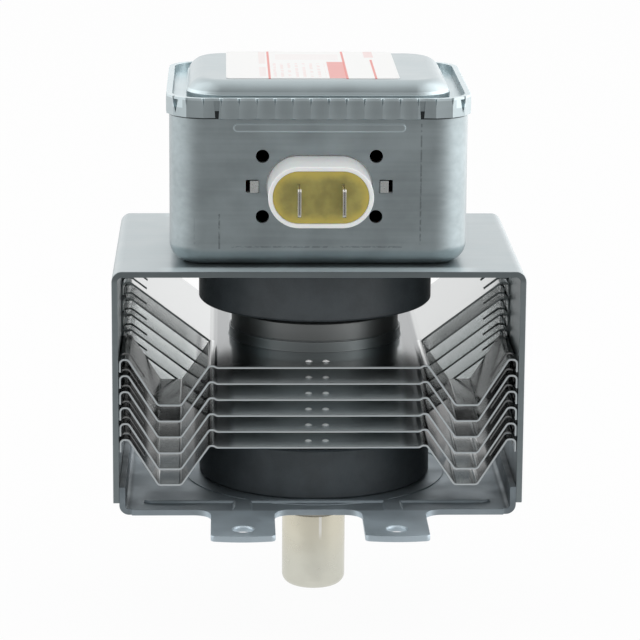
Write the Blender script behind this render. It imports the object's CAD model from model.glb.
"""Looks of a microwave-oven magnetron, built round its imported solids.

Lengths are in millimetres until a mesh is made.
"""

import logging
import math
from collections.abc import Callable
from dataclasses import dataclass, field
from enum import Enum

import bpy
from mathutils import Matrix, Vector


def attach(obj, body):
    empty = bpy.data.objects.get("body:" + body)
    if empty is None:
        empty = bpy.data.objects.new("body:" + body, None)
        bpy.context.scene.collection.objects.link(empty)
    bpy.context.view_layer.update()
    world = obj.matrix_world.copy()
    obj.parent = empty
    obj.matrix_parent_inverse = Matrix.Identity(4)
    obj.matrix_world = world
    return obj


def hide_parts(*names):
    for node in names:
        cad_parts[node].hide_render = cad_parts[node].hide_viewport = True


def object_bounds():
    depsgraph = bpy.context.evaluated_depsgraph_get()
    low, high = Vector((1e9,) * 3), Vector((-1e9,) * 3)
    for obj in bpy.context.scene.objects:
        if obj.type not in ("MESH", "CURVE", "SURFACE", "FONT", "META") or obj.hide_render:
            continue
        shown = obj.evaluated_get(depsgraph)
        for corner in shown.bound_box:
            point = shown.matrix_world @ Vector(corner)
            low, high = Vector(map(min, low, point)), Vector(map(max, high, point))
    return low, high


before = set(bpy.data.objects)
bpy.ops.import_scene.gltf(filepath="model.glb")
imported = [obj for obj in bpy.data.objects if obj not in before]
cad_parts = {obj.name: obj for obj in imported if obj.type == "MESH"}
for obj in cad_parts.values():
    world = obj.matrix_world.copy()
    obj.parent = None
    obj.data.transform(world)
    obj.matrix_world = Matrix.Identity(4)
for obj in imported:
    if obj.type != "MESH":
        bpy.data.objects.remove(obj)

CAD_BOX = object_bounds()
LOG = logging.getLogger("magnetron")
MM = 0.001
ROOT = "root"
RIM_Z = 96.9

Colour = tuple[float, float, float]
Reach = tuple[float, float]
Socket = bpy.types.NodeSocket
Tree = bpy.types.NodeTree
Value = Socket | float


class Grain(Enum):
    """Which way a metal's streaks run, as the stretch of the noise that draws them."""

    ALONG_X = (0.03, 1.0, 1.0)
    ALONG_Z = (1.0, 1.0, 0.03)
    NONE = (1.0, 1.0, 1.0)


class Graph:
    """Adds and links the shader nodes of one material."""

    def __init__(self, name: str) -> None:
        """Starts a material with a Principled shader and Object coordinates.

        Args:
            name: The material's name.
        """
        self.material = bpy.data.materials.new(name)
        self.material.use_nodes = True
        self.tree = self.material.node_tree
        self.shader = self.tree.nodes["Principled BSDF"]
        self.where = self.tree.nodes.new("ShaderNodeTexCoord").outputs["Object"]
        self.axes = self.tree.nodes.new("ShaderNodeSeparateXYZ")
        self.tree.links.new(self.where, self.axes.inputs[0])

    def feed(self, socket: Socket, value: Value | Colour) -> None:
        """Sets an input to a value, or links a socket to it.

        Args:
            socket: The input.
            value: A number, a colour or another node's output.
        """
        if isinstance(value, bpy.types.NodeSocket):
            self.tree.links.new(value, socket)
        else:
            socket.default_value = (*value, 1.0) if isinstance(value, tuple) else value

    def set(self, **inputs: Value | Colour) -> None:
        """Sets or links the shader's own inputs, which are given by their names in lower case."""
        for key, value in inputs.items():
            self.feed(self.shader.inputs[key.replace("_", " ").title()], value)

    def math(self, operation: str, a: Value, b: Value = 0.0) -> Socket:
        """Adds a Math node.

        Args:
            operation: Blender's name for the operation.
            a: First input.
            b: Second input.

        Returns:
            The result.
        """
        node = self.tree.nodes.new("ShaderNodeMath")
        node.operation = operation
        self.feed(node.inputs[0], a)
        self.feed(node.inputs[1], b)
        return node.outputs[0]

    def all_of(self, *masks: Value) -> Socket:
        """Multiplies masks.

        Args:
            masks: The masks.

        Returns:
            Their product.
        """
        result = masks[0]
        for mask in masks[1:]:
            result = self.math("MULTIPLY", result, mask)
        return result

    def ramp(self, value: Socket, low: float, high: float, start: float = 0.0, end: float = 1.0) -> Socket:
        """Maps a value smoothly from one range to another.

        Args:
            value: What is mapped.
            low: Value that gives start.
            high: Value that gives end.
            start: Result at low.
            end: Result at high.

        Returns:
            The mapped value.
        """
        node = self.tree.nodes.new("ShaderNodeMapRange")
        node.interpolation_type = "SMOOTHSTEP"
        for key, number in (("From Min", low), ("From Max", high), ("To Min", start), ("To Max", end)):
            node.inputs[key].default_value = number
        self.tree.links.new(value, node.inputs["Value"])
        return node.outputs["Result"]

    def mix(self, share: Socket, a: Socket | Colour, b: Socket | Colour) -> Socket:
        """Mixes two colours.

        Args:
            share: How much of b there is.
            a: First colour.
            b: Second colour.

        Returns:
            The mixed colour.
        """
        node = self.tree.nodes.new("ShaderNodeMix")
        node.data_type = "RGBA"
        self.tree.links.new(share, node.inputs[0])
        self.feed(node.inputs[6], a)
        self.feed(node.inputs[7], b)
        return node.outputs[2]

    def noise(self, size: float, detail: float = 3.0, grain: Grain = Grain.NONE) -> Socket:
        """Adds a noise.

        Args:
            size: Size of its features, in millimetres.
            detail: How many finer layers it has.
            grain: Which way it is drawn out.

        Returns:
            The noise, from 0 to 1.
        """
        place = self.tree.nodes.new("ShaderNodeMapping")
        self.tree.links.new(self.where, place.inputs["Vector"])
        place.inputs["Scale"].default_value = grain.value
        node = self.tree.nodes.new("ShaderNodeTexNoise")
        node.inputs["Scale"].default_value = 1 / (size * MM)
        node.inputs["Detail"].default_value = detail
        self.tree.links.new(place.outputs["Vector"], node.inputs["Vector"])
        return node.outputs[0]

    def axis(self, name: str) -> Socket:
        """The Object coordinate along X, Y or Z, in millimetres."""
        return self.math("MULTIPLY", self.axes.outputs[name], 1 / MM)

    def out(self, name: str) -> Socket:
        """How far a point lies to either side along X or Y, in millimetres."""
        return self.math("ABSOLUTE", self.axis(name))

    def rest(self, mask: Socket) -> Socket:
        """The part of the surface that a mask leaves."""
        return self.math("SUBTRACT", 1.0, mask)

    def length(self, a: Socket, b: Socket) -> Socket:
        """The length of a vector in a plane, from its two coordinates."""
        return self.math("SQRT", self.math("ADD", self.all_of(a, a), self.all_of(b, b)))

    def stadium(self, along: Socket, across: Socket, straight: float) -> Socket:
        """The distance from a line of half length straight, which is even all round a stadium."""
        past = self.math("MAXIMUM", self.math("SUBTRACT", self.math("ABSOLUTE", along), straight), 0.0)
        return self.length(past, across)

    def band(self, value: Socket, reach: Reach, soft: float) -> Socket:
        """A mask that is 1 where a value lies within a reach, with soft edges of the given width."""
        rise = self.ramp(value, reach[0] - soft, reach[0])
        return self.all_of(rise, self.ramp(value, reach[1], reach[1] + soft, 1.0, 0.0))

    def bump(self, height: Socket, depth: float) -> None:
        """Links a height to the shader's normal.

        Args:
            height: The height, from 0 to 1.
            depth: Its depth in millimetres.
        """
        node = self.tree.nodes.new("ShaderNodeBump")
        node.inputs["Distance"].default_value = depth * MM
        self.tree.links.new(height, node.inputs["Height"])
        self.tree.links.new(node.outputs["Normal"], self.shader.inputs["Normal"])


@dataclass(frozen=True)
class Scuff:
    """A dark mark on the front of the filter box, by its reach in x and z."""

    x: Reach
    z: Reach
    share: float = 0.55


@dataclass(frozen=True)
class Finish:
    """What the finishes share: a name, which is also the record's slot, a colour and a roughness."""

    name: str
    colour: Colour
    roughness: float

    def shade(self, by: float) -> Colour:
        """The colour, lighter or darker by a factor."""
        return tuple(min(1.0, c * by) for c in self.colour)

    def make(self) -> bpy.types.Material:
        """Builds the material.

        Returns:
            The material.
        """
        graph = Graph(self.name)
        self.paint(graph)
        return graph.material

    def paint(self, graph: Graph) -> None:
        """Adds the finish's own nodes."""
        raise NotImplementedError


@dataclass(frozen=True)
class ZincSheet(Finish):
    """Zinc-coated steel sheet, faintly mottled, with rolling streaks."""

    grain: Grain = Grain.ALONG_X
    streak: float = 0.08
    bare: float = 0.82
    mottle_size: float = 9.0
    streak_size: float = 1.4

    def paint(self, graph: Graph) -> None:
        """Adds mottling, streaks and marks.

        Args:
            graph: The material's nodes.
        """
        mottle = graph.noise(self.mottle_size, 4.0)
        streaks = graph.noise(self.streak_size, 2.0, self.grain)
        tone = graph.math("ADD", graph.all_of(mottle, 0.65), graph.all_of(streaks, 0.35))
        dark, pale = self.shade(1 - self.streak), self.shade(1 + self.streak)
        colour = graph.mix(graph.ramp(tone, 0.3, 0.7), dark, pale)
        graph.set(metallic=self.bare)
        graph.set(base_color=self.marked(graph, colour))
        graph.set(roughness=graph.ramp(mottle, 0.25, 0.75, self.roughness * 0.88, self.roughness * 1.12))
        graph.bump(graph.math("ADD", graph.noise(0.5, 2.0), graph.all_of(streaks, 0.5)), 0.006)

    def marked(self, graph: Graph, colour: Socket) -> Socket:
        """The colour with a piece's own marks, of which a plain sheet has none."""
        return colour


@dataclass(frozen=True)
class FoldedSheet(ZincSheet):
    """The yoke's sheet: dark sheared edges, dirt at the foot of its walls, and matt strips beside the box."""

    cut_y: float = 35.0
    cut: float = 0.2
    cut_shares: Reach = (0.28, 0.55)
    inner_x: float = 46.5
    dirt: Reach = (10.0, 24.0)
    dirt_share: float = 0.75
    dirty: float = 0.25
    top_z: float = 57.4
    rubbed_x: Reach = (38.0, 30.0)
    rubbed_y: Reach = (29.0, 31.5)
    rubbed_matt: float = 0.65
    rubbed_pale: float = 1.8

    def marked(self, graph: Graph, colour: Socket) -> Socket:
        """The colour with dirt, rubbed strips and dark edges.

        Args:
            graph: The material's nodes.
            colour: The plain colour.

        Returns:
            The marked colour.
        """
        out_x, out_y, z = graph.out("X"), graph.out("Y"), graph.axis("Z")
        within = graph.ramp(out_y, self.cut_y - 0.1, self.cut_y - 0.3)
        low = graph.ramp(z, *self.dirt, self.dirt_share, 0.0)
        inner = graph.ramp(out_x, self.inner_x + 0.1, self.inner_x - 0.1)
        colour = graph.mix(graph.all_of(low, inner, within), colour, self.shade(self.dirty))
        beside, middle = graph.ramp(out_y, *self.rubbed_y), graph.ramp(out_x, *self.rubbed_x)
        on_top = graph.ramp(z, self.top_z - 0.2, self.top_z + 0.1)
        rubbed = graph.all_of(beside, within, middle, on_top)
        graph.set(metallic=graph.math("SUBTRACT", self.bare, graph.all_of(rubbed, self.rubbed_matt)))
        colour = graph.mix(rubbed, colour, self.shade(self.rubbed_pale))
        edge = graph.ramp(out_y, self.cut_y - 0.12, self.cut_y - 0.03)
        share = graph.ramp(z, self.top_z - 2.5, self.top_z - 1.5, *self.cut_shares)
        return graph.mix(graph.all_of(edge, share), colour, self.shade(self.cut))


@dataclass(frozen=True)
class BoltPlate(ZincSheet):
    """The plate's sheet: dull inside the yoke and on its upturned sides, bright on the bolt tabs."""

    tab_y: float = 35.6
    inside: float = 0.7
    tabs: float = 1.3
    side_x: float = 43.0
    sides: float = 0.4

    def marked(self, graph: Graph, colour: Socket) -> Socket:
        """The colour with dull inside and bright tabs.

        Args:
            graph: The material's nodes.
            colour: The plain colour.

        Returns:
            The marked colour.
        """
        side = graph.ramp(graph.out("X"), self.side_x, self.side_x + 1.0)
        level = graph.mix(side, self.shade(self.inside), self.shade(self.sides))
        tab = graph.ramp(graph.out("Y"), self.tab_y + 0.1, self.tab_y + 1.6)
        level = graph.mix(tab, level, self.shade(self.tabs))
        return graph.mix(graph.ramp(graph.noise(6.0, 3.0), 0.2, 0.8, 0.0, 0.4), level, colour)


@dataclass(frozen=True)
class BoxSheet(ZincSheet):
    """The box's sheet: scuffs and a pale bead on its front, and dirt where the lid's skirt covers it."""

    scuffs: tuple[Scuff, ...] = ()
    front_y: float = -29.5
    skirt_z: float = 92.0
    bead_z: float = 90.1
    bead_straight: float = 18.7
    bead_r: float = 0.9
    scuffed: float = 0.3
    pale: float = 1.7
    dirty: float = 0.12

    def marked(self, graph: Graph, colour: Socket) -> Socket:
        """The colour with its scuffs, bead and dirt.

        Args:
            graph: The material's nodes.
            colour: The plain colour.

        Returns:
            The marked colour.
        """
        x, z = graph.axis("X"), graph.axis("Z")
        facing = graph.ramp(graph.axis("Y"), self.front_y + 0.6, self.front_y + 0.2)
        for scuff in self.scuffs:
            broken = graph.ramp(graph.noise(1.1, 3.0), 0.36, 0.56, 0.0, scuff.share)
            worn = graph.all_of(graph.band(x, scuff.x, 0.2), graph.band(z, scuff.z, 0.2))
            colour = graph.mix(graph.all_of(facing, broken, worn), colour, self.shade(self.scuffed))
        reach = graph.stadium(x, graph.math("SUBTRACT", z, self.bead_z), self.bead_straight)
        rim = graph.all_of(facing, graph.band(reach, (self.bead_r - 0.2, self.bead_r + 0.1), 0.1), 0.7)
        colour = graph.mix(rim, colour, self.shade(self.pale))
        return graph.mix(graph.ramp(z, self.skirt_z, self.skirt_z + 0.1), colour, self.shade(self.dirty))


@dataclass(frozen=True)
class LidSheet(ZincSheet):
    """The lid's sheet: bright where its rim is rolled over and in the trough that the rim guards."""

    rim_z: float = RIM_Z
    roll_h: float = 0.5
    trough_half: tuple[float, float] = (33.5, 28.3)
    trough: Reach = (94.6, 97.4)
    bright: float = 1.4

    def marked(self, graph: Graph, colour: Socket) -> Socket:
        """The colour with its bright rim and trough.

        Args:
            graph: The material's nodes.
            colour: The plain colour.

        Returns:
            The marked colour.
        """
        z, bright = graph.axis("Z"), self.shade(self.bright)
        within = [
            graph.ramp(graph.out(name), half - 0.1, half + 0.1, 1.0, 0.0)
            for name, half in zip("XY", self.trough_half)
        ]
        rolled = graph.band(z, (self.rim_z - self.roll_h, self.rim_z + 0.1), 0.15)
        colour = graph.mix(rolled, colour, bright)
        return graph.mix(graph.all_of(graph.band(z, self.trough, 0.3), *within), colour, bright)


@dataclass(frozen=True)
class BrightMetal(Finish):
    """Plain metal with a fine grain."""

    grain: Grain = Grain.NONE
    variation: float = 0.1
    depth: float = 0.004
    grazing: float = 1.0

    def paint(self, graph: Graph) -> None:
        """Adds a fine and a broad unevenness.

        Args:
            graph: The material's nodes.
        """
        fine = graph.noise(0.5, 3.0, self.grain)
        graph.set(metallic=1.0, specular_tint=(self.grazing,) * 3)
        graph.set(base_color=self.tone(graph))
        even = graph.ramp(fine, 0.25, 0.75, self.roughness * 0.85, self.roughness * 1.15)
        graph.set(roughness=self.gloss(graph, even))
        graph.bump(fine, self.depth)

    def gloss(self, graph: Graph, even: Socket) -> Socket:
        """The roughness, which is even on a plain metal."""
        return even

    def tone(self, graph: Graph) -> Socket:
        """The colour with its broad unevenness."""
        broad = graph.ramp(graph.noise(6.0, 3.0), 0.3, 0.7)
        return graph.mix(broad, self.shade(1 - self.variation), self.colour)


@dataclass(frozen=True)
class FinSheet(BrightMetal):
    """Bright pressed sheet with sheared edges, darker on its front wings, its flat and its collar."""

    sheared: Colour = (0.2, 0.22, 0.22)
    wing_x: float = 25.2
    wing_y: float = -10.0
    wing_shade: float = 0.38
    wing_slope: float = 0.8
    trough_x: Reach = (32.4, 37.3)
    trough_share: float = 0.8
    trough_z: Reach = (15.0, 24.5)
    top_z: float = 33.5
    top_shade: float = 0.5
    slit_x: float = 40.2
    slit_y: float = -3.8
    slit_pitch: float = 9.5
    slits: int = 4
    edge_depth: float = 0.16
    front_y: float = -34.5
    front: Colour = (0.70, 0.75, 0.77)
    front_grazing: float = 0.6
    flat: Colour = (0.71, 0.77, 0.785)
    flat_bare: float = 0.45
    flat_side: Colour = (0.33, 0.36, 0.37)
    flat_side_x: Reach = (19.0, 21.0)
    flat_x: float = 24.2
    top_flat: Colour = (0.38, 0.41, 0.415)
    top_flat_side: Colour = (0.17, 0.18, 0.185)
    collar: Colour = (0.31, 0.335, 0.34)
    collar_r: float = 20.8
    collar_roughness: float = 0.4
    dimples_x: tuple[float, ...] = (-2.2, 1.8)
    dimple_y: float = -29.8
    dimple_r: float = 0.95

    def tone(self, graph: Graph) -> Socket:
        """The colour with its dull wings, flat and collar, its dimples and its edges.

        Args:
            graph: The material's nodes.

        Returns:
            The colour.
        """
        out, back, top = graph.out("X"), graph.axis("Y"), self._top(graph)
        rear = graph.all_of(top, graph.ramp(back, self.wing_y, self.wing_y + 0.3))
        colour = graph.mix(rear, super().tone(graph), self.shade(self.top_shade))
        wing = graph.ramp(out, self.flat_x, self.wing_x)
        wing = graph.all_of(wing, graph.ramp(back, self.wing_y, self.wing_y - 0.3))
        graph.set(specular_tint=graph.mix(wing, (self.grazing,) * 3, (self.front_grazing,) * 3))
        lower = graph.ramp(graph.axis("Z"), *self.trough_z, self.trough_share, 0.0)
        floor = graph.all_of(graph.band(out, self.trough_x, 0.2), lower)
        colour = graph.mix(graph.all_of(wing, graph.rest(floor)), colour, self.shade(self.wing_shade))
        side = graph.ramp(out, *self.flat_side_x)
        flat = graph.mix(side, self.flat, self.flat_side)
        flat = graph.mix(top, flat, graph.mix(side, self.top_flat, self.top_flat_side))
        colour = graph.mix(self._inside(graph), colour, flat)
        colour = graph.mix(self._collar(graph), colour, self.collar)
        colour = graph.mix(graph.ramp(back, self.front_y + 0.3, self.front_y + 0.1), colour, self.front)
        colour = graph.mix(self._dimples(graph), colour, (1.0, 1.0, 1.0))
        rows = [(self.wing_x, self.wing_y)]
        rows += [(self.slit_x, self.slit_y + n * self.slit_pitch) for n in range(self.slits)]
        for x, y in rows:
            face = graph.band(back, (y - self.edge_depth, y + self.edge_depth), 0.06)
            colour = graph.mix(graph.all_of(face, graph.ramp(out, x, x + 0.2)), colour, self.sheared)
        return colour

    def gloss(self, graph: Graph, even: Socket) -> Socket:
        """The roughness, with the collar duller, and the lower flats partly matt.

        Args:
            graph: The material's nodes.
            even: The even roughness.

        Returns:
            The roughness.
        """
        matt = graph.all_of(self._inside(graph), graph.rest(self._top(graph)), 1.0 - self.flat_bare)
        graph.set(metallic=graph.rest(graph.math("MAXIMUM", matt, self._dimples(graph))))
        return graph.math("MAXIMUM", even, graph.all_of(self._collar(graph), self.collar_roughness))

    def _inside(self, graph: Graph) -> Socket:
        """A mask of the flat between the wings, apart from its front edge."""
        between = graph.ramp(graph.out("X"), self.flat_x - 0.4, self.flat_x + 0.4, 1.0, 0.0)
        return graph.all_of(between, graph.ramp(graph.axis("Y"), self.front_y + 0.1, self.front_y + 0.3))

    def _collar(self, graph: Graph) -> Socket:
        """A mask of the collar that grips the anode."""
        reach = graph.length(graph.axis("X"), graph.axis("Y"))
        return graph.ramp(reach, self.collar_r, self.collar_r + 0.2, 1.0, 0.0)

    def _top(self, graph: Graph) -> Socket:
        """A mask of the uppermost sheet's flat and rear wings.

        Args:
            graph: The material's nodes.

        Returns:
            The mask.
        """
        out = graph.math("SUBTRACT", graph.out("X"), self.wing_x)
        rise = graph.all_of(graph.math("MAXIMUM", out, 0.0), self.wing_slope)
        height = graph.math("SUBTRACT", graph.axis("Z"), rise)
        return graph.ramp(height, self.top_z - 0.3, self.top_z + 0.3)

    def _dimples(self, graph: Graph) -> Socket:
        """A mask of the dimples, which catch the light.

        Args:
            graph: The material's nodes.

        Returns:
            The mask.
        """
        y = graph.math("SUBTRACT", graph.axis("Y"), self.dimple_y)
        spots = []
        for x in self.dimples_x:
            reach = graph.length(graph.math("SUBTRACT", graph.axis("X"), x), y)
            spots.append(graph.ramp(reach, self.dimple_r, self.dimple_r - 0.2))
        return graph.math("MAXIMUM", *spots)


@dataclass(frozen=True)
class TubeMetal(BrightMetal):
    """Metal of the tube, which is dull and dark on the tube's outside."""

    outside_r: float = 19.8
    outside: Colour = (0.34, 0.36, 0.37)
    outside_roughness: float = 0.45

    def tone(self, graph: Graph) -> Socket:
        """The colour with its dull outside."""
        return graph.mix(self._outside(graph), super().tone(graph), self.outside)

    def gloss(self, graph: Graph, even: Socket) -> Socket:
        """The roughness, with its dull outside."""
        return graph.math("MAXIMUM", even, graph.all_of(self._outside(graph), self.outside_roughness))

    def _outside(self, graph: Graph) -> Socket:
        """A mask of the tube's outside."""
        reach = graph.length(graph.axis("X"), graph.axis("Y"))
        return graph.ramp(reach, self.outside_r - 0.2, self.outside_r)


@dataclass(frozen=True)
class WarmNickel(Finish):
    """The antenna cap's nickel: warm near its rim, greyer below, with one drawn streak."""

    warm: Colour = (0.76, 0.72, 0.59)
    rim: float = -9.0
    end: float = -27.0
    streak: Reach = (1.2, 1.7)
    streak_end: float = -15.0
    streak_share: float = 0.8
    bright: Colour = (0.97, 0.96, 0.92)

    def paint(self, graph: Graph) -> None:
        """Adds the change of tint and the streak.

        Args:
            graph: The material's nodes.
        """
        height = graph.math("ADD", graph.axis("Z"), graph.all_of(graph.noise(5.0, 3.0), 4.0))
        tint = graph.mix(graph.ramp(height, self.end + 6, self.rim + 2), self.colour, self.warm)
        mottle = graph.ramp(graph.noise(5.0, 2.0), 0.3, 0.7)
        tint = graph.mix(graph.all_of(mottle, 0.08), tint, self.shade(0.6))
        line = graph.band(graph.axis("X"), self.streak, 0.15)
        above = graph.ramp(graph.axis("Z"), self.streak_end, self.streak_end + 3)
        line = graph.all_of(line, above, self.streak_share)
        graph.set(base_color=graph.mix(line, tint, self.bright), metallic=1.0)
        graph.set(roughness=graph.ramp(mottle, 0.0, 1.0, self.roughness * 0.85, self.roughness * 1.15))
        graph.bump(graph.noise(0.4, 2.0, Grain.ALONG_Z), 0.004)


@dataclass(frozen=True)
class Body(Finish):
    """Plastic, ceramic or ferrite: a dielectric with a fine surface."""

    variation: float = 0.08
    grain_size: float = 0.4
    depth: float = 0.01
    depth_of_light: float = 0.0

    def paint(self, graph: Graph) -> None:
        """Adds a fine and a broad unevenness.

        Args:
            graph: The material's nodes.
        """
        fine = graph.noise(self.grain_size, 4.0)
        broad = graph.ramp(graph.noise(5.0, 3.0), 0.3, 0.7)
        graph.set(base_color=graph.mix(broad, self.shade(1 - self.variation), self.colour))
        graph.set(roughness=graph.ramp(fine, 0.25, 0.75, self.roughness * 0.85, self.roughness * 1.15))
        if self.depth_of_light > 0:
            graph.set(subsurface_weight=self.depth_of_light, subsurface_scale=1.5 * MM)
        graph.bump(fine, self.depth)


@dataclass(frozen=True)
class PottedResin(Finish):
    """Cast resin in an oval mouth: greener in the middle and yellow where it climbs its wall."""

    edge: Colour = (0.58, 0.47, 0.10)
    middle_z: float = 76.5
    straight: float = 5.0
    round_r: float = 5.95
    shades: Reach = (0.82, 1.1)
    depth_of_light: float = 0.25

    def paint(self, graph: Graph) -> None:
        """Adds the yellow edge and the uneven middle.

        Args:
            graph: The material's nodes.
        """
        up = graph.math("SUBTRACT", graph.axis("Z"), self.middle_z)
        reach = graph.stadium(graph.axis("X"), up, self.straight)
        uneven = graph.noise(3.0, 3.0)
        reach = graph.math("ADD", reach, graph.all_of(graph.math("SUBTRACT", uneven, 0.5), 1.6))
        body = graph.mix(graph.ramp(uneven, 0.3, 0.7), *(self.shade(by) for by in self.shades))
        rim = graph.ramp(reach, self.round_r - 2.6, self.round_r + 0.2)
        graph.set(base_color=graph.mix(rim, body, self.edge), roughness=self.roughness)
        graph.set(subsurface_weight=self.depth_of_light, subsurface_scale=1.2 * MM)
        graph.bump(uneven, 0.12)


@dataclass(frozen=True)
class Field:
    """A plain printed field on the label, by its reach in x and y."""

    x: Reach
    y: Reach
    share: float


@dataclass(frozen=True)
class PrintedFilm(Finish):
    """White film with plain red rules, fields and rows of short dashes."""

    ink: Colour = (0.72, 0.10, 0.07)
    fields: tuple[Field, ...] = ()
    rows: Field = Field((-10.4, 1.9), (-18.5, 3.0), 0.16)
    row_pitch: float = 1.72

    def paint(self, graph: Graph) -> None:
        """Adds the rules, fields and rows.

        Args:
            graph: The material's nodes.
        """
        x, y = graph.axis("X"), graph.axis("Y")
        colour: Socket | Colour = self.colour
        for mark in self.fields:
            share = graph.all_of(graph.band(x, mark.x, 0.08), graph.band(y, mark.y, 0.08), mark.share)
            colour = graph.mix(share, colour, self.ink)
        past = graph.math("DIVIDE", graph.math("SUBTRACT", x, self.rows.x[0]), self.row_pitch)
        lines = graph.band(graph.math("FRACT", past), (0.1, 0.45), 0.05)
        block = graph.all_of(graph.band(x, self.rows.x, 0.05), graph.band(y, self.rows.y, 0.3))
        ends = graph.ramp(graph.noise(2.5, 2.0), 0.42, 0.5)
        rows = graph.all_of(lines, block, ends, self.rows.share)
        graph.set(base_color=graph.mix(rows, colour, self.ink), roughness=self.roughness)


def mm(*values: float) -> Vector:
    """A point in metres, from its coordinates in millimetres."""
    return Vector(values) * MM


def only(piece: bpy.types.Object) -> None:
    """Selects one object and nothing else, and makes it active.

    Args:
        piece: The object.
    """
    bpy.ops.object.select_all(action="DESELECT")
    piece.select_set(True)
    bpy.context.view_layer.objects.active = piece


@dataclass
class Skin:
    """A copy of one solid's mesh, merged, with its sharp edges broken, that stands for that solid."""

    node: str
    name: str
    edge: float = 0.15
    steps: int = 2
    sharp: float = 35.0
    smooth: float = 32.0
    join: float = 0.02
    flat: float = 0.2
    where: Callable[[Vector, Vector], bool] | None = None

    def build(self) -> bpy.types.Object:
        """Makes the piece.

        Returns:
            The new object, with its place in its mesh.
        """
        piece = bpy.data.objects.new(self.name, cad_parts[self.node].data.copy())
        bpy.context.scene.collection.objects.link(piece)
        only(piece)
        if piece.data.has_custom_normals:
            bpy.ops.mesh.customdata_custom_splitnormals_clear()
        bpy.ops.object.mode_set(mode="EDIT")
        bpy.ops.mesh.select_all(action="SELECT")
        bpy.ops.mesh.remove_doubles(threshold=self.join * MM)
        bpy.ops.mesh.dissolve_limited(angle_limit=math.radians(self.flat))
        bpy.ops.object.mode_set(mode="OBJECT")
        if self.edge > 0 and self.where:
            self._break_some(piece)
        elif self.edge > 0:
            self._break_all(piece)
        bpy.ops.object.shade_smooth_by_angle(angle=math.radians(self.smooth))
        self._even(piece)
        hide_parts(self.node)
        return piece

    def _break_all(self, piece: bpy.types.Object) -> None:
        """Rounds every sharp edge.

        Args:
            piece: The piece.
        """
        bevel = piece.modifiers.new("edges", "BEVEL")
        bevel.width = self.edge * MM
        bevel.segments = self.steps
        bevel.limit_method = "ANGLE"
        bevel.angle_limit = math.radians(self.sharp)
        bevel.use_clamp_overlap = False
        bpy.ops.object.modifier_apply(modifier=bevel.name)

    def _break_some(self, piece: bpy.types.Object) -> None:
        """Rounds the edges whose two ends pass the test.

        Args:
            piece: The piece.
        """
        bpy.ops.object.mode_set(mode="EDIT")
        bpy.ops.mesh.select_mode(type="EDGE")
        bpy.ops.mesh.select_all(action="DESELECT")
        bpy.ops.object.mode_set(mode="OBJECT")
        points = piece.data.vertices
        for edge in piece.data.edges:
            edge.select = self.where(*(points[i].co / MM for i in edge.vertices))
        bpy.ops.object.mode_set(mode="EDIT")
        bpy.ops.mesh.bevel(offset=self.edge * MM, segments=self.steps, affect="EDGES", clamp_overlap=False)
        bpy.ops.object.mode_set(mode="OBJECT")

    @staticmethod
    def _even(piece: bpy.types.Object) -> None:
        """Makes flat faces shade flat up to their rounded edges.

        Args:
            piece: The piece.
        """
        weigh = piece.modifiers.new("weighted", "WEIGHTED_NORMAL")
        weigh.keep_sharp = True
        weigh.weight = 90
        bpy.ops.object.modifier_apply(modifier=weigh.name)


class Shelf:
    """Keeps one material for each finish, and dresses solids and new pieces with them."""

    def __init__(self) -> None:
        """Starts with no material."""
        self.made: dict[str, bpy.types.Material] = {}
        self.bare = set(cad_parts)

    def material(self, finish: Finish) -> bpy.types.Material:
        """The material of a finish.

        Args:
            finish: The finish.

        Returns:
            The material, made at its first use.
        """
        if finish.name not in self.made:
            self.made[finish.name] = finish.make()
        return self.made[finish.name]

    def dress(self, piece: bpy.types.Object, finish: Finish) -> None:
        """Gives a new piece its material, slot and body.

        Args:
            piece: The piece.
            finish: Its finish.
        """
        piece.data.materials.clear()
        piece.data.materials.append(self.material(finish))
        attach(piece, ROOT)
        LOG.info("%s: %d faces, %s", piece.name, len(piece.data.polygons), finish.name)

    def skin(self, skin: Skin, finish: Finish) -> bpy.types.Object:
        """Builds a skin and dresses it.

        Args:
            skin: The skin.
            finish: Its finish.

        Returns:
            The piece.
        """
        piece = skin.build()
        self.dress(piece, finish)
        self.bare.discard(skin.node)
        return piece

    def coat(self, finish: Finish, *nodes: str) -> None:
        """Gives solids that stay as they are their material.

        Args:
            finish: The finish.
            nodes: The solids.
        """
        for node in nodes:
            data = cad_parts[node].data
            data.materials.clear()
            data.materials.append(self.material(finish))
            self.bare.discard(node)


ZINC = (0.335, 0.385, 0.40)
LABEL_REACH = (-20.7, 22.6)
BOX_STEEL = BoxSheet(
    "box_steel", ZINC, 0.34, streak=0.13,
    scuffs=(
        Scuff((-28.8, -28.6), (63.0, 69.0)), Scuff((-23.0, -22.8), (62.0, 70.0)),
        Scuff((23.2, 23.35), (63.0, 91.0)), Scuff((-20.0, 19.0), (62.3, 62.5), 0.4),
        Scuff((-33.7, -28.4), (63.2, 63.4), 0.4),
    ),
)
LID_STEEL = LidSheet("lid_steel", tuple(c * 1.1 for c in ZINC), 0.33, streak=0.05)
YOKE_STEEL = FoldedSheet("yoke_steel", ZINC, 0.32, streak=0.06)
PLATE_STEEL = BoltPlate("plate_steel", (0.44, 0.51, 0.555), 0.52, streak=0.06)
FIN_ALUMINIUM = FinSheet(
    "fin_aluminium", (0.84, 0.86, 0.86), 0.15, variation=0.05, depth=0.0001, grazing=0.95,
)
SEAL_METAL = TubeMetal(
    "seal_metal", (0.33, 0.34, 0.34), 0.42, variation=0.2, grazing=0.6, outside=(0.30, 0.31, 0.31),
)
TINNED_STEEL = BrightMetal("tinned_steel", (0.70, 0.72, 0.71), 0.3)
TERMINAL_BRASS = BrightMetal("terminal_brass", (0.78, 0.76, 0.70), 0.24)
ENAMELLED_COPPER = BrightMetal("enamelled_copper", (0.46, 0.17, 0.06), 0.3)
COPPER = TubeMetal("copper", (0.72, 0.35, 0.20), 0.3)
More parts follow.
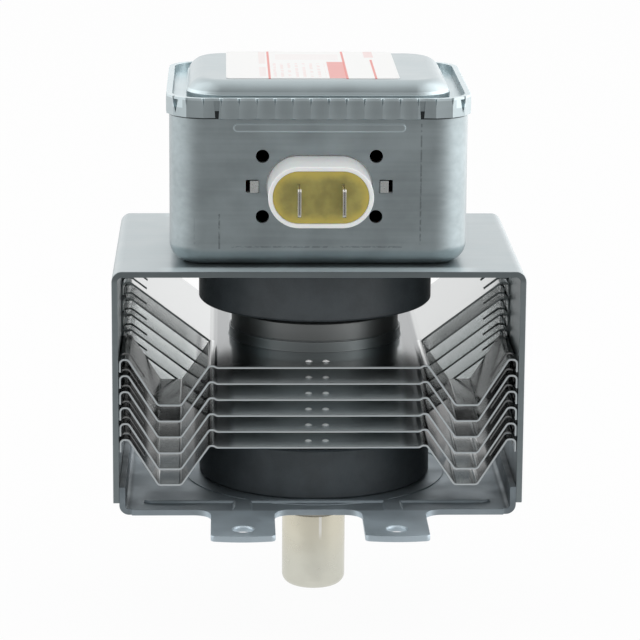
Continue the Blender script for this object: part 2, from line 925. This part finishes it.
HOT_METAL = BrightMetal("hot_metal", (0.36, 0.36, 0.34), 0.4)
POLE_STEEL = BrightMetal("pole_steel", (0.45, 0.47, 0.47), 0.3)
GASKET_MESH = BrightMetal("gasket_mesh", (0.66, 0.54, 0.28), 0.35)
ANTENNA_NICKEL = WarmNickel("antenna_nickel", (0.67, 0.665, 0.585), 0.24)
MAGNET_FERRITE = Body(
    "magnet_ferrite", (0.059, 0.071, 0.079), 0.5, variation=0.2, grain_size=0.5, depth=0.03,
)
CORE_FERRITE = Body("core_ferrite", (0.02, 0.02, 0.022), 0.55)
WHITE_CERAMIC = Body("white_ceramic", (0.82, 0.79, 0.72), 0.6)
CAPACITOR_CERAMIC = Body("capacitor_ceramic", (0.58, 0.52, 0.40), 0.6)
SLEEVE_PLASTIC = Body("sleeve_plastic", (0.045, 0.05, 0.055), 0.5)
CASE_PLASTIC = Body(
    "case_plastic", (0.93, 0.94, 0.94), 0.32, variation=0.02, grain_size=0.8, depth=0.004,
    depth_of_light=0.15,
)
RESIN = PottedResin("resin", (0.36, 0.315, 0.09), 0.34)
LABEL_FILM = PrintedFilm(
    "label_film", (0.88, 0.88, 0.87), 0.4,
    fields=(
        Field((-11.5, -11.05), LABEL_REACH, 0.85), Field((6.4, 6.85), LABEL_REACH, 0.85),
        Field((13.0, 13.45), (-20.7, 9.0), 0.85), Field((2.6, 6.5), (-20.4, 5.4), 0.72),
        Field((-13.5, -12.0), (2.5, 22.0), 0.13), Field((-13.5, -12.0), (-18.0, -3.0), 0.13),
        Field((11.9, 14.0), (12.8, 22.4), 0.28), Field((-9.5, 5.5), (9.0, 18.0), 0.05),
    ),
)


@dataclass
class FilterCan:
    """The drawn box, its crimped lid with the label, and the ground plate behind the box's front."""

    box_edge: float = 0.18
    rim_z: float = RIM_Z
    rim_edge: float = 0.07
    plate_edge: float = 0.1

    def build(self, shelf: Shelf) -> None:
        """Makes the pieces.

        Args:
            shelf: The materials.
        """
        shelf.skin(Skin("filter_box", "box_shell", self.box_edge), BOX_STEEL)
        rim = Skin("filter_lid", "lid_shell", self.rim_edge, smooth=14.0, where=self._on_rim)
        shelf.skin(rim, LID_STEEL)
        shelf.skin(Skin("rating_label", "label_sheet", 0.0), LABEL_FILM)
        shelf.skin(Skin("ground_plate", "ground_sheet", self.plate_edge), TINNED_STEEL)

    def _on_rim(self, a: Vector, b: Vector) -> bool:
        """Whether both ends of an edge lie on the rim's top."""
        return min(a.z, b.z) > self.rim_z - 0.01 and max(a.z, b.z) < self.rim_z + 0.01


@dataclass
class Connector:
    """The supply plug: white shell, resin, two folded tabs and the capacitor inside."""

    case_edge: float = 0.3
    tab_edge: float = 0.05

    def build(self, shelf: Shelf) -> None:
        """Makes the pieces.

        Args:
            shelf: The materials.
        """
        shelf.skin(Skin("connector_case", "plug_shell", self.case_edge, 3), CASE_PLASTIC)
        shelf.skin(Skin("potting_resin", "resin_pool", 0.0), RESIN)
        for side in ("left", "right"):
            shelf.skin(Skin(f"terminal_{side}", f"tab_{side}", self.tab_edge), TERMINAL_BRASS)
            shelf.coat(TERMINAL_BRASS, f"stem_terminal_{side}")
            shelf.coat(ENAMELLED_COPPER, f"choke_coil_{side}")
            shelf.coat(CORE_FERRITE, f"choke_core_{side}")
        shelf.coat(CAPACITOR_CERAMIC, "capacitor_block")
        shelf.coat(SLEEVE_PLASTIC, "capacitor_inner_case")


@dataclass
class MagnetCircuit:
    """The folded yoke, the mounting plate and the two ring magnets."""

    yoke_edge: float = 0.2
    plate_edge: float = 0.12
    magnet_edge: float = 0.12

    def build(self, shelf: Shelf) -> None:
        """Makes the pieces.

        Args:
            shelf: The materials.
        """
        shelf.skin(Skin("yoke_frame", "yoke_sheet", self.yoke_edge), YOKE_STEEL)
        shelf.skin(Skin("mounting_plate", "plate_sheet", self.plate_edge), PLATE_STEEL)
        for end in ("upper", "lower"):
            shelf.skin(Skin(f"{end}_magnet", f"{end}_ring", self.magnet_edge), MAGNET_FERRITE)


@dataclass
class FinStack:
    """The six pressed cooling fins."""

    count: int = 6
    edge: float = 0.14

    def build(self, shelf: Shelf) -> None:
        """Makes the pieces, with their materials from the shelf."""
        for n in range(1, self.count + 1):
            shelf.skin(Skin(f"cooling_fin_{n}", f"fin_{n}", self.edge), FIN_ALUMINIUM)


@dataclass
class Tube:
    """The vacuum tube: anode, vanes, straps, poles, cathode and seals."""

    edge: float = 0.12
    vanes: int = 10
    hot: tuple[str, ...] = ("centre_lead", "side_lead", "filament", "upper_end_hat", "lower_end_hat")

    def build(self, shelf: Shelf) -> None:
        """Makes the pieces.

        Args:
            shelf: The materials.
        """
        shelf.skin(Skin("cathode_seal_tube", "cathode_cup", self.edge), SEAL_METAL)
        shelf.skin(Skin("antenna_seal_tube", "antenna_cup", self.edge), SEAL_METAL)
        shelf.skin(Skin("anode_cylinder", "anode_body", self.edge), COPPER)
        straps = [f"{end}_{ring}_strap" for end in ("upper", "lower") for ring in ("inner", "outer")]
        shelf.coat(COPPER, *straps, *(f"vane_{n:02d}" for n in range(1, self.vanes + 1)))
        shelf.coat(POLE_STEEL, "upper_pole_piece", "lower_pole_piece")
        shelf.coat(HOT_METAL, *self.hot)
        shelf.coat(WHITE_CERAMIC, "stem_insulator")


@dataclass
class Antenna:
    """The cap, its insulator, and the ring with the knitted gasket under the mounting plate."""

    cap_edge: float = 0.1
    outer_r: float = 15.5
    inner_r: float = 9.6
    top_z: float = -0.5
    thickness: float = 3.4
    wire: float = 0.13
    lean: float = 34.0
    loops: int = 66
    core: float = 0.88

    def build(self, shelf: Shelf) -> None:
        """Makes the pieces.

        Args:
            shelf: The materials.
        """
        shelf.skin(Skin("antenna_cap", "cap_shell", self.cap_edge), ANTENNA_NICKEL)
        shelf.skin(Skin("antenna_insulator", "insulator_ring", self.cap_edge), WHITE_CERAMIC)
        shelf.skin(Skin("gasket_ring", "gasket_holder", self.cap_edge), TINNED_STEEL)
        shelf.coat(COPPER, "antenna_lead", "exhaust_tube")
        knit = self._knit()
        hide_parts("rf_gasket")
        shelf.bare.discard("rf_gasket")
        shelf.dress(knit, GASKET_MESH)

    def _knit(self) -> bpy.types.Object:
        """Makes the gasket: loops of wire that lean both ways round a soft core.

        Returns:
            The new object.
        """
        middle = (self.outer_r + self.inner_r) / 2
        half_w = (self.outer_r - self.inner_r) / 2
        half_h = self.thickness / 2
        stand = Matrix.Rotation(math.pi / 2, 4, "X")
        bpy.ops.object.select_all(action="DESELECT")
        parts = []
        for sign in (-1, 1):
            for n in range(self.loops):
                bpy.ops.mesh.primitive_torus_add(
                    major_segments=14, minor_segments=4, major_radius=MM, minor_radius=self.wire / half_w * MM
                )
                loop = bpy.context.object
                turn = Matrix.Rotation(2 * math.pi * (n + sign / 4) / self.loops, 4, "Z")
                squash = Matrix.Diagonal((half_w - self.wire, half_h - self.wire, half_h - self.wire, 1.0))
                tilt = Matrix.Rotation(math.radians(sign * self.lean), 4, "X")
                flat = Matrix.Diagonal((1.0, 1.0, 1 / math.cos(math.radians(self.lean)), 1.0))
                place = Matrix.Translation(mm(middle, 0.0, self.top_z - half_h))
                loop.data.transform(turn @ place @ flat @ tilt @ stand @ squash)
                parts.append(loop)
        bpy.ops.mesh.primitive_torus_add(
            major_segments=48, minor_segments=10,
            major_radius=middle * MM, minor_radius=self.core * half_h * MM,
        )
        core = bpy.context.object
        core.data.transform(Matrix.Translation(mm(0.0, 0.0, self.top_z - half_h)))
        only(core)
        for loop in parts:
            loop.select_set(True)
        bpy.ops.object.join()
        core.name = "gasket_knit"
        bpy.ops.object.shade_smooth()
        return core


@dataclass
class Camera:
    """The photograph's viewpoint, solved from the yoke's and the box's edges."""

    place: tuple[float, float, float] = (-21.694, -730.153, 207.442)
    pitch: float = -13.034
    yaw: float = 1.803
    roll: float = 0.381
    focal_px: float = 3114.5
    image_px: float = 640.0
    sensor: float = 36.0
    clip: Reach = (0.05, 20.0)

    def build(self) -> None:
        """Makes the camera and hands it to the scene."""
        pitch, yaw, roll = (math.radians(a) for a in (self.pitch, self.yaw, self.roll))
        ahead = Vector((math.sin(yaw) * math.cos(pitch), math.cos(yaw) * math.cos(pitch), math.sin(pitch)))
        level = Vector((math.cos(yaw), -math.sin(yaw), 0.0))
        above = level.cross(ahead)
        right = level * math.cos(roll) + above * math.sin(roll)
        up = above * math.cos(roll) - level * math.sin(roll)
        data = bpy.data.cameras.new("camera")
        data.sensor_width = self.sensor
        data.lens = self.focal_px / self.image_px * self.sensor
        data.clip_start, data.clip_end = self.clip
        camera = bpy.data.objects.new("camera", data)
        bpy.context.scene.collection.objects.link(camera)
        turn = Matrix((right, up, -ahead)).transposed().to_4x4()
        camera.matrix_world = Matrix.Translation(mm(*self.place)) @ turn
        bpy.context.scene.camera = camera


@dataclass
class Studio:
    """White floor and surroundings, darker behind the viewer, with two soft boxes at the sides."""

    floor_drop: float = 7.0
    floor_front: float = -330.0
    floor_back: float = 3500.0
    floor_half: float = 2500.0
    floor_colour: Colour = (0.86, 0.86, 0.86)
    floor_glow: float = 0.95
    floor_sides: Reach = (1.3, 2.0)
    floor_near: Reach = (0.9, 0.68)
    floor_before: Reach = (-0.03, -0.09)
    floor_pool: Reach = (0.06, 0.2)
    floor_middle: float = 0.5
    floor_spread: Reach = (0.08, 0.45)
    around: float = 0.72
    backdrop: float = 1.28
    behind_viewer: float = 0.36
    left_gain: float = 1.4
    right_gain: float = 2.2
    lamp_size: float = 1.6
    lamps: tuple[tuple[float, float, float, float], ...] = ((-1.0, 0.1, 0.8, 4.0), (1.0, 0.0, 0.7, 5.0))

    def build(self) -> None:
        """Makes the world, the floor and the lamps."""
        self._world()
        self._floor()
        for index, (*place, watts) in enumerate(self.lamps):
            self._lamp(f"soft_box_{index + 1}", Vector(place), watts)
        bpy.context.scene.view_settings.view_transform = "Standard"

    def _world(self) -> None:
        """Lights everything from all round, and shows white to the camera."""
        world = bpy.data.worlds.new("surroundings")
        world.use_nodes = True
        bpy.context.scene.world = world
        tree = world.node_tree
        path = tree.nodes.new("ShaderNodeLightPath")
        coords = tree.nodes.new("ShaderNodeTexCoord")
        split = tree.nodes.new("ShaderNodeSeparateXYZ")
        tree.links.new(coords.outputs["Generated"], split.inputs[0])
        level = self._fade(tree, split.outputs["Y"], (-1.0, 0.7), (self.behind_viewer, self.backdrop))
        for reach, gain in (((-0.1, -0.95), self.left_gain), ((0.1, 0.95), self.right_gain)):
            side = self._fade(tree, split.outputs["X"], reach, (1.0, gain))
            level = self._combine(tree, "MULTIPLY", level, side)
        level = self._pick(tree, path.outputs["Is Glossy Ray"], self.around, level)
        level = self._pick(tree, self._seen(tree, path), level, 1.0)
        tree.links.new(level, tree.nodes["Background"].inputs["Strength"])
        tree.nodes["Background"].inputs["Color"].default_value = (1.0, 1.0, 1.0, 1.0)

    @staticmethod
    def _fade(tree: Tree, value: Socket, reach: Reach, levels: Reach) -> Socket:
        """Fades from one level to another.

        Args:
            tree: The node tree.
            value: What the level depends on.
            reach: The values at which the fade starts and ends.
            levels: The levels there.

        Returns:
            The level.
        """
        node = tree.nodes.new("ShaderNodeMapRange")
        node.interpolation_type = "SMOOTHSTEP"
        for key, number in zip(("From Min", "From Max", "To Min", "To Max"), (*reach, *levels)):
            node.inputs[key].default_value = number
        tree.links.new(value, node.inputs["Value"])
        return node.outputs["Result"]

    def _seen(self, tree: Tree, path: bpy.types.Node) -> Socket:
        """Whether a ray comes from the camera, straight or through glass, by the tree's Light Path node."""
        straight, through = (path.outputs[f"Is {kind} Ray"] for kind in ("Camera", "Transmission"))
        return self._combine(tree, "MAXIMUM", straight, through)

    @staticmethod
    def _feed(tree: Tree, socket: Socket, value: Value) -> None:
        """Sets an input to a number, or links a socket to it.

        Args:
            tree: The node tree.
            socket: The input.
            value: A number or another node's output.
        """
        if isinstance(value, bpy.types.NodeSocket):
            tree.links.new(value, socket)
        else:
            socket.default_value = value

    @classmethod
    def _combine(cls, tree: Tree, operation: str, a: Socket, b: Value) -> Socket:
        """Combines two numbers.

        Args:
            tree: The node tree.
            operation: Blender's name for the operation.
            a: One number.
            b: The other number.

        Returns:
            The result.
        """
        node = tree.nodes.new("ShaderNodeMath")
        node.operation = operation
        cls._feed(tree, node.inputs[0], a)
        cls._feed(tree, node.inputs[1], b)
        return node.outputs[0]

    @classmethod
    def _pick(cls, tree: Tree, choice: Socket, no: Value, yes: Value) -> Socket:
        """Picks a number by a ray's kind.

        Args:
            tree: The node tree.
            choice: 1 for yes.
            no: The number where choice is 0.
            yes: The number where choice is 1.

        Returns:
            The picked number.
        """
        node = tree.nodes.new("ShaderNodeMix")
        for index, value in ((0, choice), (2, no), (3, yes)):
            cls._feed(tree, node.inputs[index], value)
        return node.outputs[0]

    def _floor(self) -> None:
        """Makes the pale floor, which keeps a faint shadow."""
        bpy.ops.object.select_all(action="DESELECT")
        bpy.ops.mesh.primitive_plane_add(size=1.0)
        floor = bpy.context.object
        floor.name = "floor"
        depth = self.floor_back - self.floor_front
        place = mm(0.0, self.floor_front + depth / 2, CAD_BOX[0].z / MM - self.floor_drop)
        spread = Matrix.Diagonal((2 * self.floor_half * MM, depth * MM, 1.0, 1.0))
        floor.data.transform(Matrix.Translation(place) @ spread)
        material = bpy.data.materials.new("pale_floor")
        material.use_nodes = True
        tree = material.node_tree
        tree.nodes.remove(tree.nodes["Principled BSDF"])
        matt = tree.nodes.new("ShaderNodeBsdfDiffuse")
        matt.inputs["Color"].default_value = (*self.floor_colour, 1.0)
        white = tree.nodes.new("ShaderNodeEmission")
        path = tree.nodes.new("ShaderNodeLightPath")
        seen, glossy = self._seen(tree, path), path.outputs["Is Glossy Ray"]
        tree.links.new(self._pick(tree, glossy, 1.0, self._floor_level(tree)), white.inputs["Strength"])
        blend = tree.nodes.new("ShaderNodeMixShader")
        tree.links.new(self._pick(tree, seen, glossy, self.floor_glow), blend.inputs[0])
        tree.links.new(matt.outputs[0], blend.inputs[1])
        tree.links.new(white.outputs[0], blend.inputs[2])
        tree.links.new(blend.outputs[0], tree.nodes["Material Output"].inputs["Surface"])
        floor.data.materials.append(material)

    def _floor_level(self, tree: Tree) -> Socket:
        """How bright the floor looks in a reflection: dim near the object and brighter to its sides.

        Args:
            tree: The floor's nodes.

        Returns:
            The level.
        """
        place = tree.nodes.new("ShaderNodeTexCoord").outputs["Object"]
        split = tree.nodes.new("ShaderNodeSeparateXYZ")
        tree.links.new(place, split.inputs[0])
        reach = tree.nodes.new("ShaderNodeVectorMath")
        reach.operation = "LENGTH"
        tree.links.new(place, reach.inputs[0])
        near, far = self.floor_spread
        left, right = (side / self.floor_middle for side in self.floor_sides)
        side = split.outputs["X"]
        more = tuple(level - self.floor_middle for level in self.floor_near)
        pool = self._fade(tree, reach.outputs["Value"], self.floor_pool, (1.0, 0.0))
        before = self._fade(tree, split.outputs["Y"], self.floor_before, more)
        level = self._combine(tree, "ADD", self._combine(tree, "MULTIPLY", pool, before), self.floor_middle)
        level = self._combine(tree, "MULTIPLY", level, self._fade(tree, side, (near, far), (1.0, right)))
        return self._combine(tree, "MULTIPLY", level, self._fade(tree, side, (-near, -far), (1.0, left)))

    def _lamp(self, name: str, place: Vector, watts: float) -> None:
        """Hangs one soft box, aimed at the object.

        Args:
            name: Its name.
            place: Its place in metres.
            watts: Its strength.
        """
        data = bpy.data.lights.new(name, "AREA")
        data.energy = watts
        data.size = self.lamp_size
        lamp = bpy.data.objects.new(name, data)
        bpy.context.scene.collection.objects.link(lamp)
        aim = (CAD_BOX[0] + CAD_BOX[1]) / 2 - place
        lamp.matrix_world = Matrix.Translation(place) @ aim.to_track_quat("-Z", "Y").to_matrix().to_4x4()


@dataclass
class Magnetron:
    """The whole object, as its sub-assemblies."""

    can: FilterCan = field(default_factory=FilterCan)
    connector: Connector = field(default_factory=Connector)
    circuit: MagnetCircuit = field(default_factory=MagnetCircuit)
    fins: FinStack = field(default_factory=FinStack)
    tube: Tube = field(default_factory=Tube)
    antenna: Antenna = field(default_factory=Antenna)

    def build(self) -> None:
        """Makes every sub-assembly."""
        shelf = Shelf()
        for group in (self.can, self.connector, self.circuit, self.fins, self.tube, self.antenna):
            group.build(shelf)
        if shelf.bare:
            LOG.warning("solids without a finish: %s", sorted(shelf.bare))


def main() -> None:
    """Builds the camera, the studio and the object."""
    logging.basicConfig(level=logging.INFO, format="%(name)s: %(message)s")
    Camera().build()
    Studio().build()
    Magnetron().build()


if __name__ == "__main__":
    main()
